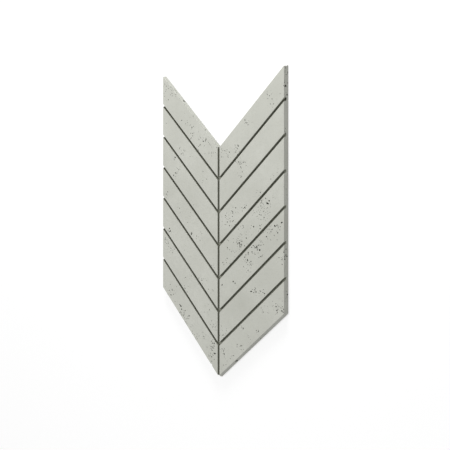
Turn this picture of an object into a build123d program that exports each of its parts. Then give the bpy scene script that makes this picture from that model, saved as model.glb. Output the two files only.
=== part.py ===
from build123d import *
from math import cos, radians, tan
import os

# Cast concrete wall panel in the shape of a chevron. It lies on its back with the patterned face up,
# the point of the chevron towards -Y and the notch towards +Y. All sizes are in millimetres.

# The slab, measured on its patterned face
panel_width = 400.0
panel_thickness = 15.0
side_draft = 12.0  # degrees, the sides lean out towards the back, so that the mould lets go
point_draft = 16.0  # degrees, the same on the edges of the point; those of the notch are upright
chevron_angle = 45.0  # degrees, from straight across the panel to the run of a course
corner_radius = 0.8  # the six corners of the outline
arris_radius = 0.6  # the worn edge around each face of the pattern
back_chamfer = 0.5  # the edge around the back

# The courses, alike on both halves
course_count = 7
course_pitch = 86.0  # from groove to groove, measured along the panel
groove_width = 6.4  # at the face, square to the groove
groove_depth = 8.0
groove_draft = 5.0  # degrees on each wall

# What follows from these
slope = radians(chevron_angle)
half_width = panel_width / 2
fall = half_width * tan(slope)
groove_along = groove_width / cos(slope)
# The end courses stop half a groove short, so panels set a groove apart carry the pattern on.
side_length = course_count * course_pitch - groove_along
tip_y = -(side_length + fall) / 2
shoulder_y = tip_y + fall
notch_y = tip_y + side_length
horn_y = notch_y + fall
spine_middle = (tip_y + notch_y) / 2
run_out = 2 * groove_width  # how far the cutting shapes pass the outline
past_x = half_width + run_out
past_rise = past_x * tan(slope)
groove_floor = panel_thickness - groove_depth
face_plane = Plane.XY.offset(panel_thickness)

outline_points = [
    (0, tip_y),
    (half_width, shoulder_y),
    (half_width, horn_y),
    (0, notch_y),
    (-half_width, horn_y),
    (-half_width, shoulder_y),
]
# One groove in plan: a band that falls from both sides and is mitred on the centre line.
groove_points = [
    (0, -groove_along / 2),
    (past_x, past_rise - groove_along / 2),
    (past_x, past_rise + groove_along / 2),
    (0, groove_along / 2),
    (-past_x, past_rise + groove_along / 2),
    (-past_x, past_rise - groove_along / 2),
]

with BuildPart() as wall_panel:
    # The slab itself, its outer edges drafted from the face down
    with BuildSketch() as outline:
        with BuildLine():
            Polyline(*outline_points, close=True)
        make_face()
    extrude(amount=panel_thickness)
    draft(wall_panel.faces().filter_by(Axis.X), face_plane, side_draft)
    draft(wall_panel.faces().sort_by(Axis.Y)[:2], face_plane, point_draft)
    corner_edges = wall_panel.edges().filter_by(lambda edge: edge.bounding_box().size.Z > panel_thickness / 2)
    fillet(corner_edges, radius=corner_radius)
    chamfer(wall_panel.faces().sort_by(Axis.Z)[0].edges(), length=back_chamfer)

    # The grooves between the courses and the one down the middle, cut as one shape
    with BuildSketch(face_plane) as grooves:
        with Locations((0, spine_middle)):
            with GridLocations(panel_width, course_pitch, 1, course_count - 1):
                Polygon(*groove_points, align=None)
            Rectangle(groove_width, side_length + 2 * run_out)
    extrude(amount=-groove_depth, mode=Mode.SUBTRACT)
    upright_faces = wall_panel.faces().filter_by(lambda face: face.bounding_box().size.Z > groove_depth / 2)
    groove_walls = upright_faces.filter_by(lambda face: face.bounding_box().min.Z > groove_floor / 2)
    draft(groove_walls, face_plane, groove_draft)

    # The worn edges of the pattern
    fillet(wall_panel.faces().group_by(Axis.Z)[-1].edges(), radius=arris_radius)

wall_panel.part.label = "wall_panel"
os.makedirs("parts", exist_ok=True)
export_step(wall_panel.part, "parts/wall_panel.step")
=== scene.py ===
import bpy
import bmesh
import math
from mathutils import Matrix, Vector


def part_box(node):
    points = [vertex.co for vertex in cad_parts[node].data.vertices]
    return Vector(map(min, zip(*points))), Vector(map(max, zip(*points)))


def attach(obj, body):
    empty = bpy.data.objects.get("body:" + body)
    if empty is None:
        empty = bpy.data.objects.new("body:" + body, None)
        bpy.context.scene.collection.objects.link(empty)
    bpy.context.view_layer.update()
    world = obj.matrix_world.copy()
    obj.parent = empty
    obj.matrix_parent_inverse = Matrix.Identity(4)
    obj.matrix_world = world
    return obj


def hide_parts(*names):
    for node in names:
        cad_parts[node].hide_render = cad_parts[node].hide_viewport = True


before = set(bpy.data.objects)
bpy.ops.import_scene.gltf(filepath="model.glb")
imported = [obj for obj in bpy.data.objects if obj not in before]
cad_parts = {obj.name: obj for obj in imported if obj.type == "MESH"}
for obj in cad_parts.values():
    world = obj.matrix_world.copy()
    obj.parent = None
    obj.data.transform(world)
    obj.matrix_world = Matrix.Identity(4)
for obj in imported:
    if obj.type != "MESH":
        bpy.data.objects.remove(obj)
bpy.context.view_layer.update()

scene = bpy.context.scene
scene.view_settings.view_transform = "Standard"
mm = 0.001

# The panel's own measures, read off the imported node
low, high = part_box("wall_panel")
faceLevel = high[2]
print("panel spans", [round((b - a) / mm, 1) for a, b in zip(low, high)], "mm")

# How the courses lie on the face, to place voids by half, course and place along it
courses = {
    "halfWidth": 200 * mm,
    "notchY": 196.5 * mm,     # root of the V on the centre line
    "tipY": -396.5 * mm,      # the point
    "pitch": 86 * mm,         # groove to groove along the panel
    "groove": 9 * mm,         # a groove measured along the panel
    "sideDraft": 12.0,        # degrees, the sides lean out towards the back
    "pointDraft": 16.0,       # degrees, so do the edges of the point
    "grooveDraft": 5.0,       # degrees, on the walls of the grooves
}


def onCourse(half, course, along, across):
    # along is 0 at the spine and 1 at the side; across is 0 at the course's upper edge and 1 at its lower
    side = -1 if half == "left" else 1
    x = along * courses["halfWidth"]
    top = courses["notchY"] + x - (course - 1) * courses["pitch"]
    y = top - across * (courses["pitch"] - courses["groove"])
    return Vector((side * x, y, faceLevel))


def onEdge(edge, along, down):
    # a place on an edge face and the way that face looks; down is 0 at the patterned face, 1 at the back
    half, notch, tip = courses["halfWidth"], courses["notchY"], courses["tipY"]
    x, slope = along * half, math.sqrt(0.5)
    upright = notch + half - along * (notch - tip)
    side, point = courses["sideDraft"], courses["pointDraft"]
    places = {
        "right": ((half, upright), (1, 0), side),
        "left": ((-half, upright), (-1, 0), side),
        "notchLeft": ((-x, notch + x), (slope, slope), 0),
        "notchRight": ((x, notch + x), (-slope, slope), 0),
        "pointLeft": ((-x, tip + x), (-slope, -slope), point),
        "pointRight": ((x, tip + x), (slope, -slope), point),
    }
    place, out, lean = places[edge]
    lean = math.radians(lean)
    out = Vector((*out, 0))
    depth = faceLevel * down
    surface = Vector((*place, faceLevel - depth)) + out * depth * math.tan(lean)
    return surface, out * math.cos(lean) + Vector((0, 0, math.sin(lean)))


# Air voids: groups of open pores where the photo shows them
# half, course, along, across, spread in mm, how many, radius in mm
voidGroups = [
    ("left", 1, 0.88, 0.30, 26, 26, 1.1),
    ("left", 1, 0.76, 0.08, 4, 2, 1.5),
    ("left", 1, 0.63, 0.63, 5, 3, 1.5),
    ("left", 1, 0.50, 0.30, 24, 14, 1.05),
    ("left", 1, 0.25, 0.32, 20, 20, 1.1),
    ("left", 1, 0.23, 0.33, 7, 4, 2.0),
    ("left", 1, 0.45, 0.74, 12, 6, 1.1),
    ("left", 1, 0.30, 0.75, 16, 8, 1.0),
    ("left", 1, 0.10, 0.35, 16, 11, 1.1),
    ("left", 2, 0.93, 0.40, 2, 1, 1.3),
    ("left", 2, 0.64, 0.66, 16, 10, 1.15),
    ("left", 2, 0.45, 0.15, 16, 6, 0.95),
    ("left", 2, 0.20, 0.45, 26, 6, 0.9),
    ("left", 3, 0.77, 0.15, 5, 4, 1.5),
    ("left", 3, 0.72, 0.38, 10, 6, 0.95),
    ("left", 3, 0.73, 0.56, 6, 4, 1.5),
    ("left", 3, 0.78, 0.85, 6, 4, 1.5),
    ("left", 4, 0.96, 0.85, 10, 8, 1.05),
    ("left", 4, 0.60, 0.45, 34, 10, 0.9),
    ("left", 4, 0.46, 0.84, 4, 3, 1.6),
    ("left", 4, 0.33, 0.53, 15, 10, 1.0),
    ("left", 4, 0.10, 0.68, 2, 1, 1.6),
    ("left", 4, 0.10, 0.92, 6, 5, 1.1),
    ("left", 5, 0.88, 0.80, 6, 5, 1.6),
    ("left", 5, 0.55, 0.45, 34, 9, 0.9),
    ("left", 5, 0.27, 0.82, 14, 10, 1.0),
    ("left", 5, 0.13, 0.80, 12, 7, 1.1),
    ("left", 6, 0.93, 0.20, 10, 9, 1.15),
    ("left", 6, 0.84, 0.25, 16, 14, 1.1),
    ("left", 6, 0.57, 0.84, 12, 8, 1.1),
    ("left", 6, 0.54, 0.33, 16, 6, 1.0),
    ("left", 6, 0.25, 0.60, 24, 8, 0.9),
    ("left", 6, 0.06, 0.60, 15, 14, 1.15),
    ("left", 7, 0.85, 0.78, 24, 24, 1.05),
    ("left", 7, 0.66, 0.65, 6, 5, 1.8),
    ("left", 7, 0.60, 0.82, 20, 28, 1.45),
    ("left", 7, 0.46, 0.75, 5, 3, 1.6),
    ("left", 7, 0.40, 0.90, 12, 11, 1.2),
    ("left", 7, 0.30, 0.40, 22, 8, 0.95),
    ("left", 7, 0.10, 0.25, 14, 14, 1.55),
    ("left", 7, 0.12, 0.50, 16, 16, 1.15),
    ("left", 7, 0.06, 0.40, 4, 2, 1.7),
    ("left", 7, 0.12, 0.72, 15, 11, 1.1),
    ("right", 1, 0.84, 0.58, 21, 17, 1.0),
    ("right", 1, 0.47, 0.40, 16, 12, 1.2),
    ("right", 1, 0.29, 0.70, 8, 7, 1.85),
    ("right", 1, 0.11, 0.50, 18, 20, 1.05),
    ("right", 1, 0.30, 0.92, 9, 6, 1.1),
    ("right", 2, 0.32, 0.20, 14, 16, 1.05),
    ("right", 2, 0.42, 0.45, 8, 5, 1.0),
    ("right", 2, 0.36, 0.44, 4, 2, 1.3),
    ("right", 2, 0.34, 0.62, 10, 8, 1.05),
    ("right", 3, 0.87, 0.80, 14, 6, 1.0),
    ("right", 3, 0.64, 0.80, 10, 5, 0.95),
    ("right", 3, 0.15, 0.52, 20, 20, 1.2),
    ("right", 3, 0.27, 0.55, 13, 11, 1.25),
    ("right", 3, 0.43, 0.83, 13, 11, 1.1),
    ("right", 3, 0.22, 0.88, 11, 5, 0.95),
    ("right", 4, 0.86, 0.38, 7, 4, 1.1),
    ("right", 4, 0.73, 0.38, 21, 26, 1.25),
    ("right", 4, 0.76, 0.30, 9, 4, 1.8),
    ("right", 4, 0.72, 0.70, 2, 1, 2.2),
    ("right", 4, 0.72, 0.70, 13, 10, 1.0),
    ("right", 4, 0.62, 0.35, 18, 15, 1.05),
    ("right", 4, 0.55, 0.57, 5, 2, 1.4),
    ("right", 4, 0.67, 0.92, 13, 10, 1.15),
    ("right", 4, 0.42, 0.50, 24, 22, 1.05),
    ("right", 4, 0.35, 0.66, 13, 17, 1.35),
    ("right", 4, 0.36, 0.64, 6, 3, 2.0),
    ("right", 4, 0.26, 0.60, 23, 26, 1.0),
    ("right", 4, 0.13, 0.72, 15, 8, 1.15),
    ("right", 5, 0.60, 0.34, 20, 20, 1.35),
    ("right", 5, 0.62, 0.36, 10, 4, 2.0),
    ("right", 5, 0.53, 0.26, 2, 1, 2.4),
    ("right", 5, 0.48, 0.34, 18, 15, 1.25),
    ("right", 5, 0.48, 0.56, 17, 16, 1.2),
    ("right", 5, 0.84, 0.30, 23, 26, 1.2),
    ("right", 5, 0.88, 0.28, 12, 4, 1.8),
    ("right", 5, 0.97, 0.31, 3, 2, 1.3),
    ("right", 5, 0.68, 0.27, 10, 8, 1.0),
    ("right", 5, 0.25, 0.60, 6, 4, 1.4),
    ("right", 5, 0.07, 0.32, 4, 2, 1.6),
    ("right", 6, 0.95, 0.32, 11, 9, 1.15),
    ("right", 6, 0.55, 0.37, 9, 7, 1.1),
    ("right", 6, 0.65, 0.78, 19, 15, 1.0),
    ("right", 6, 0.08, 0.80, 16, 20, 1.1),
    ("right", 7, 0.90, 0.40, 22, 20, 1.05),
    ("right", 7, 0.95, 0.76, 15, 12, 1.5),
    ("right", 7, 0.73, 0.26, 15, 10, 1.0),
    ("right", 7, 0.42, 0.20, 12, 8, 1.1),
    ("right", 7, 0.63, 0.79, 6, 4, 1.4),
    ("right", 7, 0.50, 0.84, 14, 8, 1.05),
    ("right", 7, 0.35, 0.75, 11, 10, 1.1),
    ("right", 7, 0.06, 0.28, 9, 9, 1.3),
    ("right", 7, 0.15, 0.75, 23, 17, 0.9),
]
# Pores and chips that open on an edge: edge, along, down, spread in mm, how many, radius in mm
edgeGroups = [
    ("notchLeft", 0.65, 0.62, 2.5, 4, 3.0),
    ("notchLeft", 0.25, 0.45, 14, 6, 1.0),
    ("notchLeft", 0.80, 0.45, 12, 6, 1.1),
    ("notchRight", 0.55, 0.05, 3, 1, 1.6),
    ("notchRight", 0.30, 0.50, 20, 8, 1.1),
    ("right", 0.0, 0.66, 1, 2, 2.5),
    ("right", 0.05, 0.45, 22, 20, 1.1),
    ("right", 0.085, 0.42, 3, 3, 1.9),
    ("right", 0.118, 0.76, 2, 3, 2.2),
    ("right", 0.125, 0.35, 9, 6, 1.1),
    ("right", 0.1365, 0.40, 2, 3, 2.3),
    ("right", 0.26, 0.30, 12, 6, 1.2),
    ("right", 0.52, 0.55, 22, 8, 1.1),
    ("right", 0.77, 0.40, 18, 12, 1.4),
    ("right", 0.93, 0.60, 18, 6, 1.4),
    ("pointRight", 0.26, 0.50, 5, 4, 2.4),
    ("pointRight", 0.70, 0.50, 24, 8, 1.1),
    ("pointLeft", 0.58, 0.02, 8, 5, 1.6),
    ("pointLeft", 0.13, 0.02, 3, 2, 2.0),
    ("pointLeft", 0.40, 0.55, 24, 8, 1.2),
    ("left", 0.40, 0.50, 26, 8, 1.2),
    ("left", 0.75, 0.45, 26, 9, 1.2),
]

voidLook = {
    "seed": 11,
    "smallest": 0.62,       # of the group's radius
    "largest": 1.4,
    "unround": 0.35,        # how far a void strays from a ball
    "roughness": 0.28,      # how lumpy its wall is
    "lumpSize": 420.0,      # scale of its noise, larger for finer lumps
    "edgeSpreadUp": 0.3,    # the spread up an edge face against the spread along it
    "rim": 0.1,             # above this share of the edge a chip opens on the arris
    "strays": ((1, 0.85), (2, 0.3)),    # draw and reach, as a share of the group's spread
    "smallBias": 1.6,       # small ones are the commonest
    "sunk": (-0.75, -0.25),     # middle of a void below its surface, in radii
    "turns": (0.5, 0.5, 6.28),  # most it is turned about each axis, in radians
    "stretch": ((-1, -1, -0.4), (1, 1, 1.4)),   # least and most on each axis, times unround
}
# what the node tree takes in: socket, its value above, its kind
voidInputs = (
    ("Seed", "seed", "NodeSocketInt"),
    ("Smallest", "smallest", "NodeSocketFloat"),
    ("Largest", "largest", "NodeSocketFloat"),
    ("Unround", "unround", "NodeSocketFloat"),
    ("Roughness", "roughness", "NodeSocketFloat"),
    ("Lump Size", "lumpSize", "NodeSocketFloat"),
)


def groupPoints():
    up = Vector((0, 0, 1))
    groups = []     # place, the way it opens, how much of its spread goes up an edge, then as listed above
    for half, course, along, across, *rest in voidGroups:
        groups.append((onCourse(half, course, along, across), up, 0.0, *rest))
    for edge, along, down, *rest in edgeGroups:
        place, out = onEdge(edge, along, down)
        if down < voidLook["rim"]:
            groups.append((place, (out + up).normalized(), 0.0, *rest))
        else:
            groups.append((place, out, voidLook["edgeSpreadUp"], *rest))
    places, outward, upShare, spread, amount, size = zip(*groups)

    mesh = bpy.data.meshes.new("voidGroups")
    mesh.from_pydata(list(places), [], [])
    layers = (
        ("spread", "FLOAT", [reach * mm for reach in spread]),
        ("upShare", "FLOAT", upShare),
        ("amount", "INT", amount),
        ("size", "FLOAT", [radius * mm for radius in size]),
    )
    for name, kind, values in layers:
        layer = mesh.attributes.new(name, kind, "POINT")
        layer.data.foreach_set("value", values)
    layer = mesh.attributes.new("outward", "FLOAT_VECTOR", "POINT")
    layer.data.foreach_set("vector", [part for out in outward for part in out])
    return mesh


def voidTree(voidMaterial):
    tree = bpy.data.node_groups.new("airVoids", "GeometryNodeTree")
    tree.interface.new_socket("Geometry", in_out="INPUT", socket_type="NodeSocketGeometry")
    for name, _, kind in voidInputs:
        tree.interface.new_socket(name, in_out="INPUT", socket_type=kind)
    tree.interface.new_socket("Geometry", in_out="OUTPUT", socket_type="NodeSocketGeometry")
    nodes, links = tree.nodes, tree.links
    given = nodes.new("NodeGroupInput")
    result = nodes.new("NodeGroupOutput")

    def feed(socket, value):
        if isinstance(value, (int, float, tuple)):
            socket.default_value = value
        else:
            links.new(value, socket)

    def attribute(name, kind="FLOAT"):
        node = nodes.new("GeometryNodeInputNamedAttribute")
        node.data_type = kind
        node.inputs["Name"].default_value = name
        return node.outputs["Attribute"]

    def numbers(operation, a, b):
        node = nodes.new("ShaderNodeMath")
        node.operation = operation
        feed(node.inputs[0], a)
        feed(node.inputs[1], b)
        return node.outputs[0]

    def vectors(operation, a, b):
        node = nodes.new("ShaderNodeVectorMath")
        node.operation = operation
        feed(node.inputs[0], a)
        feed(node.inputs["Scale"] if operation == "SCALE" else node.inputs[1], b)
        return node.outputs["Value"] if operation == "DOT_PRODUCT" else node.outputs["Vector"]

    def randomVector(lowest, highest, draw):
        node = nodes.new("FunctionNodeRandomValue")
        node.data_type = "FLOAT_VECTOR"
        node.inputs[0].default_value = lowest
        node.inputs[1].default_value = highest
        links.new(numbers("ADD", given.outputs["Seed"], draw), node.inputs["Seed"])
        return node.outputs[0]

    def randomNumber(lowest, highest, draw):
        node = nodes.new("FunctionNodeRandomValue")
        node.data_type = "FLOAT"
        node.inputs[2].default_value = lowest
        node.inputs[3].default_value = highest
        links.new(numbers("ADD", given.outputs["Seed"], draw), node.inputs["Seed"])
        return node.outputs[1]

    def moved(points, offset):
        node = nodes.new("GeometryNodeSetPosition")
        links.new(points, node.inputs["Geometry"])
        links.new(offset, node.inputs["Offset"])
        return node.outputs["Geometry"]

    # many points from each group, thickest in its middle, all staying in the surface they open on
    copies = nodes.new("GeometryNodeDuplicateElements")
    copies.domain = "POINT"
    links.new(given.outputs["Geometry"], copies.inputs["Geometry"])
    links.new(attribute("amount", "INT"), copies.inputs["Amount"])
    points = copies.outputs["Geometry"]
    flatten = nodes.new("ShaderNodeCombineXYZ")
    flatten.inputs[0].default_value = 1.0
    flatten.inputs[1].default_value = 1.0
    links.new(attribute("upShare"), flatten.inputs[2])
    for draw, far in voidLook["strays"]:
        anyWay = randomVector((-far, -far, -far), (far, far, far), draw)
        stray = vectors("MULTIPLY", anyWay, flatten.outputs[0])
        out = attribute("outward", "FLOAT_VECTOR")
        through = vectors("SCALE", out, vectors("DOT_PRODUCT", stray, out))
        points = moved(points, vectors("SCALE", vectors("SUBTRACT", stray, through), attribute("spread")))

    share = numbers("POWER", randomNumber(0.0, 1.0, 3), voidLook["smallBias"])
    sizeRange = numbers("SUBTRACT", given.outputs["Largest"], given.outputs["Smallest"])
    factor = numbers("ADD", given.outputs["Smallest"], numbers("MULTIPLY", share, sizeRange))
    radius = nodes.new("GeometryNodeStoreNamedAttribute")
    radius.data_type = "FLOAT"
    radius.domain = "POINT"
    radius.inputs["Name"].default_value = "radius"
    links.new(points, radius.inputs["Geometry"])
    links.new(numbers("MULTIPLY", attribute("size"), factor), radius.inputs["Value"])

    # some sit high and stay shallow, some sit deep
    depth = numbers("MULTIPLY", randomNumber(*voidLook["sunk"], 4), attribute("radius"))
    points = moved(radius.outputs["Geometry"], vectors("SCALE", attribute("outward", "FLOAT_VECTOR"), depth))

    body = nodes.new("GeometryNodeMeshIcoSphere")
    body.inputs["Radius"].default_value = 1.0
    body.inputs["Subdivisions"].default_value = 2
    place = nodes.new("GeometryNodeInstanceOnPoints")
    links.new(points, place.inputs["Points"])
    links.new(body.outputs["Mesh"], place.inputs["Instance"])
    links.new(randomVector((0, 0, 0), voidLook["turns"], 5), place.inputs["Rotation"])
    uneven = vectors("SCALE", randomVector(*voidLook["stretch"], 6), given.outputs["Unround"])
    shape = vectors("ADD", uneven, (1, 1, 1))
    links.new(vectors("SCALE", shape, attribute("radius")), place.inputs["Scale"])

    real = nodes.new("GeometryNodeRealizeInstances")
    links.new(place.outputs["Instances"], real.inputs["Geometry"])
    lumps = nodes.new("ShaderNodeTexNoise")
    links.new(given.outputs["Lump Size"], lumps.inputs["Scale"])
    lumps.inputs["Detail"].default_value = 1.0
    normal = nodes.new("GeometryNodeInputNormal")
    reach = numbers("MULTIPLY", given.outputs["Roughness"], attribute("radius"))
    swing = numbers("MULTIPLY", numbers("SUBTRACT", lumps.outputs["Fac"], 0.5), 2.0)    # from -1 to 1
    push = numbers("MULTIPLY", swing, reach)
    lumpy = moved(real.outputs["Geometry"], vectors("SCALE", normal.outputs[0], push))
    paint = nodes.new("GeometryNodeSetMaterial")
    paint.inputs["Material"].default_value = voidMaterial
    links.new(lumpy, paint.inputs["Geometry"])
    links.new(paint.outputs["Geometry"], result.inputs["Geometry"])
    return tree


def setInput(modifier, tree, name, value):
    for item in tree.interface.items_tree:
        if item.item_type == "SOCKET" and item.in_out == "INPUT" and item.name == name:
            modifier[item.identifier] = value


def evaluatedMesh(obj):
    graph = bpy.context.evaluated_depsgraph_get()
    return bpy.data.meshes.new_from_object(obj.evaluated_get(graph))


# Concrete
concreteLook = {
    "tone": (0.574, 0.58, 0.528),
    "shade": (0.512, 0.518, 0.467),    # the darker clouds
    "grainDark": (0.44, 0.445, 0.395),
    "arrisWearAndHighlight": (0.605, 0.611, 0.558),     # arrises painted paler: partly wear, partly a painted highlight on the lips
    "stainPlace": ("right", 6, 0.38, 0.5),     # one cloud darker than the rest
    "stainReach": 55 * mm,
    "stainAmount": 0.65,
    # painted shade: void walls coloured dark, standing in for the shade inside the pores
    "voidShadeTone": (0.09, 0.092, 0.072),
    # painted shade: groove walls and floors coloured darker, standing in for the shade down in the grooves
    "grooveShadeTone": (0.255, 0.26, 0.215),
    "roughness": 0.9,
    "specular": 0.25,
    # clouds, mottling, grain and specks, each over the last:
    # noise scale, detail, where it starts and is full, colour, how much of it
    "layers": (
        (9, 4, 0.35, 0.7, "shade", 1.0),
        (70, 3, 0.45, 0.75, "shade", 0.5),
        (900, 2, 0.56, 0.78, "grainDark", 0.5),
        (380, 1, 0.5, 0.8, "grainDark", 0.55),
    ),
    "fineBump": (0.35, 0.25 * mm, 1100),    # strength, height, noise scale
    "broadBump": (0.25, 0.5 * mm, 90),
    "bumpDetail": 3,
    "noiseRoughness": 0.55,
}


def concreteFinish():
    look = concreteLook
    material = bpy.data.materials.new("castConcrete")
    material.use_nodes = True
    tree = material.node_tree
    nodes, links = tree.nodes, tree.links
    shader = nodes["Principled BSDF"]
    shader.inputs["Roughness"].default_value = look["roughness"]
    shader.inputs["Specular IOR Level"].default_value = look["specular"]
    coords = nodes.new("ShaderNodeTexCoord")

    def noise(scale, detail):
        node = nodes.new("ShaderNodeTexNoise")
        node.inputs["Scale"].default_value = scale
        node.inputs["Detail"].default_value = detail
        node.inputs["Roughness"].default_value = look["noiseRoughness"]
        links.new(coords.outputs["Object"], node.inputs["Vector"])
        return node.outputs["Fac"]

    def ramp(value, start, end):
        node = nodes.new("ShaderNodeMapRange")
        node.inputs["From Min"].default_value = start
        node.inputs["From Max"].default_value = end
        links.new(value, node.inputs["Value"])
        return node.outputs["Result"]

    def patch(place, reach):
        # full in the middle, fading out at the reach
        node = nodes.new("ShaderNodeVectorMath")
        node.operation = "DISTANCE"
        node.inputs[1].default_value = onCourse(*place)
        links.new(coords.outputs["Object"], node.inputs[0])
        return ramp(node.outputs["Value"], reach, 0)

    def blend(amount, a, b, strength=1.0):
        node = nodes.new("ShaderNodeMix")
        node.data_type = "RGBA"
        scaledAmount = nodes.new("ShaderNodeMath")
        scaledAmount.operation = "MULTIPLY"
        scaledAmount.inputs[1].default_value = strength
        links.new(amount, scaledAmount.inputs[0])
        links.new(scaledAmount.outputs[0], node.inputs["Factor"])
        for socket, value in ((node.inputs["A"], a), (node.inputs["B"], b)):
            if isinstance(value, tuple):
                socket.default_value = (*value, 1)
            else:
                links.new(value, socket)
        return node.outputs["Result"]

    def bump(strength, height, scale, under=None):
        node = nodes.new("ShaderNodeBump")
        node.inputs["Strength"].default_value = strength
        node.inputs["Distance"].default_value = height
        links.new(noise(scale, look["bumpDetail"]), node.inputs["Height"])
        if under:
            links.new(under, node.inputs["Normal"])
        return node.outputs["Normal"]

    surface = look["tone"]
    for scale, detail, start, full, colour, amount in look["layers"]:
        surface = blend(ramp(noise(scale, detail), start, full), surface, look[colour], amount)
    stain = patch(look["stainPlace"], look["stainReach"])
    surface = blend(stain, surface, look["grainDark"], look["stainAmount"])

    # arrises painted paler (wear and a painted highlight), grooves and voids painted darker as painted
    # shade, by the face mark
    mask = nodes.new("ShaderNodeAttribute")
    mask.attribute_name = "recess"
    split = nodes.new("ShaderNodeSeparateColor")
    links.new(mask.outputs["Color"], split.inputs[0])
    for channel, colour in (("Blue", "arrisWearAndHighlight"), ("Green", "grooveShadeTone"), ("Red", "voidShadeTone")):
        surface = blend(split.outputs[channel], surface, look[colour])
    links.new(surface, shader.inputs["Base Color"])

    fine = bump(*look["fineBump"])
    broad = bump(*look["broadBump"], under=fine)
    links.new(broad, shader.inputs["Normal"])
    return material


# The panel itself
panelLook = {
    "mergeGap": 0.002 * mm,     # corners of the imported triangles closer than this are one
    "grooveInset": 0.6 * mm,    # a groove's walls lie at least this far inside the outline,
    "grooveBelow": 0.8 * mm,    # this far below the face
    "grooveAbove": 1 * mm,      # and this far above the back
    "arrisBelow": 0.7 * mm,     # the rounded arrises end this far below the face
    "arrisTurn": (0.4, 0.98),   # how far up they look
    "flatTolerance": 0.004,
    "joined": 0.6,              # cosine of the turn up to which faces share their shading
}


def plainMesh(source):
    mesh = source.copy()
    bm = bmesh.new()
    bm.from_mesh(mesh)
    bmesh.ops.remove_doubles(bm, verts=bm.verts, dist=panelLook["mergeGap"])
    bmesh.ops.recalc_face_normals(bm, faces=bm.faces)
    bm.to_mesh(mesh)
    bm.free()
    return mesh


def openEdges(mesh):
    bm = bmesh.new()
    bm.from_mesh(mesh)
    count = sum(1 for edge in bm.edges if len(edge.link_faces) != 2)
    bm.free()
    return count


def buildPanel():
    concrete = concreteFinish()
    voidMarker = bpy.data.materials.new("voidWall")
    node = bpy.data.objects["wall_panel"]
    panel = bpy.data.objects.new("castPanel", plainMesh(node.data))
    bpy.context.collection.objects.link(panel)
    panel.data.materials.clear()
    panel.data.materials.append(concrete)
    print("panel copy:", len(panel.data.polygons), "faces,", openEdges(panel.data), "open edges")

    groups = bpy.data.objects.new("voidGroups", groupPoints())
    bpy.context.collection.objects.link(groups)
    tree = voidTree(voidMarker)
    grow = groups.modifiers.new("airVoids", "NODES")
    grow.node_group = tree
    for name, key, _ in voidInputs:
        setInput(grow, tree, name, voidLook[key])
    cutter = bpy.data.objects.new("voidCutter", evaluatedMesh(groups))
    bpy.context.collection.objects.link(cutter)
    bpy.data.objects.remove(groups)
    print("voids:", len(cutter.data.polygons), "faces")

    cut = panel.modifiers.new("openVoids", "BOOLEAN")
    cut.operation = "DIFFERENCE"
    cut.solver = "EXACT"
    cut.use_self = True
    cut.material_mode = "TRANSFER"
    cut.object = cutter
    finished = evaluatedMesh(panel)
    panel.modifiers.remove(cut)
    panel.data = finished
    bpy.data.objects.remove(cutter)
    print("panel with voids:", len(panel.data.polygons), "faces,", openEdges(panel.data), "open edges")
    return panel


def markRecesses(panel):
    # red: walls of voids, green: walls and floors of the grooves, both for painted shade; blue: rounded
    # arrises of the face, for painted wear and highlight
    mesh = panel.data
    marker = mesh.materials.find("voidWall")
    layer = mesh.attributes.new("recess", "FLOAT_COLOR", "FACE")
    half, notch, tip = courses["halfWidth"], courses["notchY"], courses["tipY"]
    slope = math.sqrt(0.5)
    look = panelLook
    grooveTop = faceLevel - look["grooveBelow"]
    arrisFoot = faceLevel - look["arrisBelow"]
    leastUp, mostUp = look["arrisTurn"]
    for face in mesh.polygons:
        c = face.center
        x = abs(c.x)
        inset = min(half - x, (notch + x - c.y) * slope, (c.y - tip - x) * slope)
        inVoid = face.material_index == marker
        inGroove = not inVoid and inset > look["grooveInset"] and look["grooveAbove"] < c.z < grooveTop
        onArris = not inVoid and c.z > arrisFoot and leastUp < face.normal.z < mostUp
        layer.data[face.index].color = (float(inVoid), float(inGroove), float(onArris), 1)
        face.material_index = 0
    mesh.materials.pop(index=marker)


def settleNormals(panel):
    # flat faces stay flat to their rim, rounded arrises run into them,
    # and void walls are smooth among themselves
    mesh = panel.data
    mesh.shade_smooth()
    marks = mesh.attributes["recess"].data
    angles = (0, courses["grooveDraft"], courses["sideDraft"], courses["pointDraft"], 90)
    leans = [math.sin(math.radians(angle)) for angle in angles]
    faces = mesh.polygons
    flat, void = set(), set()
    around = [[] for _ in mesh.vertices]
    for face in faces:
        if marks[face.index].color[0] > 0.5:
            void.add(face.index)
        elif any(abs(abs(face.normal.z) - lean) < panelLook["flatTolerance"] for lean in leans):
            flat.add(face.index)
        for vertex in face.vertices:
            around[vertex].append(face.index)

    def shared(face, vertex):
        if face.index in flat:
            return face.normal
        if face.index in void:
            near = [faces[i].normal for i in around[vertex] if i in void]
            return sum(near, Vector()).normalized()
        beside = [i for i in around[vertex] if faces[i].normal.dot(face.normal) > panelLook["joined"]]
        rims = [faces[i].normal for i in beside if i in flat]
        if rims:
            return max(rims, key=lambda normal: normal.dot(face.normal))
        near = [faces[i].normal for i in beside if i not in void]
        return sum(near, Vector()).normalized()

    mesh.normals_split_custom_set([shared(face, vertex) for face in faces for vertex in face.vertices])
    print("shading settled:", len(flat), "flat faces,", len(void), "void walls")


panel = buildPanel()
markRecesses(panel)
settleNormals(panel)
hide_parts("wall_panel")
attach(panel, "root")

# Floor, light and camera
stageLook = {
    "floorSize": 30.0,
    "floorTone": 0.60,
    "floorGlow": 0.45,
    "skyStrength": 0.45,
    "keyPlace": (-2.34, 1.35, 7.3),
    "keySize": 2.2,
    "keyPower": 244.0,
    "backPlace": (0.12, 1.7, 0.5),
    "backSize": (0.7, 0.4),
    "backPower": 17.5,
    "backTarget": (0, 0.25, 0),
    "fillPlace": (1.0, -2.4, 0.9),
    "fillSize": 1.2,
    "fillPower": 5.6,
}


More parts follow.
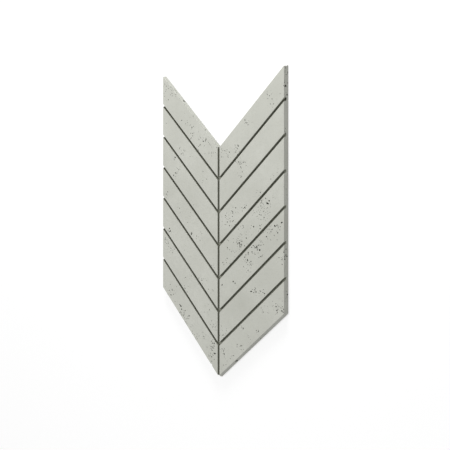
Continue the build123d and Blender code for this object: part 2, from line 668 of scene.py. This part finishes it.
def seenDirectly(nodes, links):
    # camera, mirror and see-through rays, so that the white ground shows there without lighting the panel
    path = nodes.new("ShaderNodeLightPath")
    first = nodes.new("ShaderNodeMath")
    first.operation = "MAXIMUM"
    links.new(path.outputs["Is Camera Ray"], first.inputs[0])
    links.new(path.outputs["Is Glossy Ray"], first.inputs[1])
    both = nodes.new("ShaderNodeMath")
    both.operation = "MAXIMUM"
    links.new(first.outputs[0], both.inputs[0])
    links.new(path.outputs["Is Transmission Ray"], both.inputs[1])
    return both.outputs[0]


def buildFloor():
    size = stageLook["floorSize"]
    mesh = bpy.data.meshes.new("floor")
    corners = [(-size, -size, 0), (size, -size, 0), (size, size, 0), (-size, size, 0)]
    mesh.from_pydata(corners, [], [(0, 1, 2, 3)])
    floor = bpy.data.objects.new("floor", mesh)
    bpy.context.collection.objects.link(floor)
    material = bpy.data.materials.new("paleFloor")
    material.use_nodes = True
    nodes, links = material.node_tree.nodes, material.node_tree.links
    nodes.clear()
    matte = nodes.new("ShaderNodeBsdfDiffuse")
    tone = stageLook["floorTone"]
    matte.inputs["Color"].default_value = (tone, tone, tone, 1)
    glow = nodes.new("ShaderNodeEmission")
    lift = nodes.new("ShaderNodeMath")
    lift.operation = "MULTIPLY"
    lift.inputs[1].default_value = stageLook["floorGlow"]
    links.new(seenDirectly(nodes, links), lift.inputs[0])
    links.new(lift.outputs[0], glow.inputs["Strength"])
    both = nodes.new("ShaderNodeAddShader")
    links.new(matte.outputs[0], both.inputs[0])
    links.new(glow.outputs[0], both.inputs[1])
    out = nodes.new("ShaderNodeOutputMaterial")
    links.new(both.outputs[0], out.inputs["Surface"])
    mesh.materials.append(material)


def buildSky():
    world = bpy.data.worlds.new("studio")
    scene.world = world
    world.use_nodes = True
    nodes, links = world.node_tree.nodes, world.node_tree.links
    sky = nodes["Background"]
    sky.inputs["Color"].default_value = (1, 1, 1, 1)
    strength = nodes.new("ShaderNodeMapRange")
    strength.inputs["To Min"].default_value = stageLook["skyStrength"]
    strength.inputs["To Max"].default_value = 1.0
    links.new(seenDirectly(nodes, links), strength.inputs["Value"])
    links.new(strength.outputs["Result"], sky.inputs["Strength"])


def softLamp(name, place, size, power, target=(0, 0, 0)):
    lamp = bpy.data.lights.new(name, "AREA")
    lamp.energy = power
    if isinstance(size, tuple):
        lamp.shape = "RECTANGLE"
        lamp.size, lamp.size_y = size
    else:
        lamp.size = size
    obj = bpy.data.objects.new(name, lamp)
    obj.location = place
    obj.rotation_euler = (Vector(target) - Vector(place)).to_track_quat("-Z", "Y").to_euler()
    obj.visible_camera = False
    bpy.context.collection.objects.link(obj)


buildFloor()
buildSky()
look = stageLook
softLamp("keyLamp", look["keyPlace"], look["keySize"], look["keyPower"])
softLamp("backLamp", look["backPlace"], look["backSize"], look["backPower"], look["backTarget"])
softLamp("fillLamp", look["fillPlace"], look["fillSize"], look["fillPower"])
print("floor, sky and three lamps are set")

# The photo looks at the face from the panel's right. Its upright lines stay parallel,
# so the lens is shifted, not tipped.
view = {
    "turn": 38.0,               # degrees, from square to the face towards the right
    "distance": 1489 * mm,
    "aside": -17 * mm,
    "alongY": 220.5 * mm,
    "lens": 45.78,
    "sensor": 36,
    "shiftY": -0.191,
}
turn = math.radians(view["turn"])
back = Vector((math.sin(turn), 0, math.cos(turn)))
right = Vector((math.cos(turn), 0, -math.sin(turn)))
place = Vector((0, view["alongY"], faceLevel)) + back * view["distance"] - right * view["aside"]
cameraData = bpy.data.cameras.new("camera")
cameraData.sensor_width = view["sensor"]
cameraData.lens = view["lens"]
cameraData.shift_y = view["shiftY"]
camera = bpy.data.objects.new("camera", cameraData)
bpy.context.collection.objects.link(camera)
camera.matrix_world = Matrix((
    (right.x, 0, back.x, place.x),
    (right.y, 1, back.y, place.y),
    (right.z, 0, back.z, place.z),
    (0, 0, 0, 1),
))
scene.camera = camera
print("camera stands", round(place.length, 2), "m from the middle of the panel")
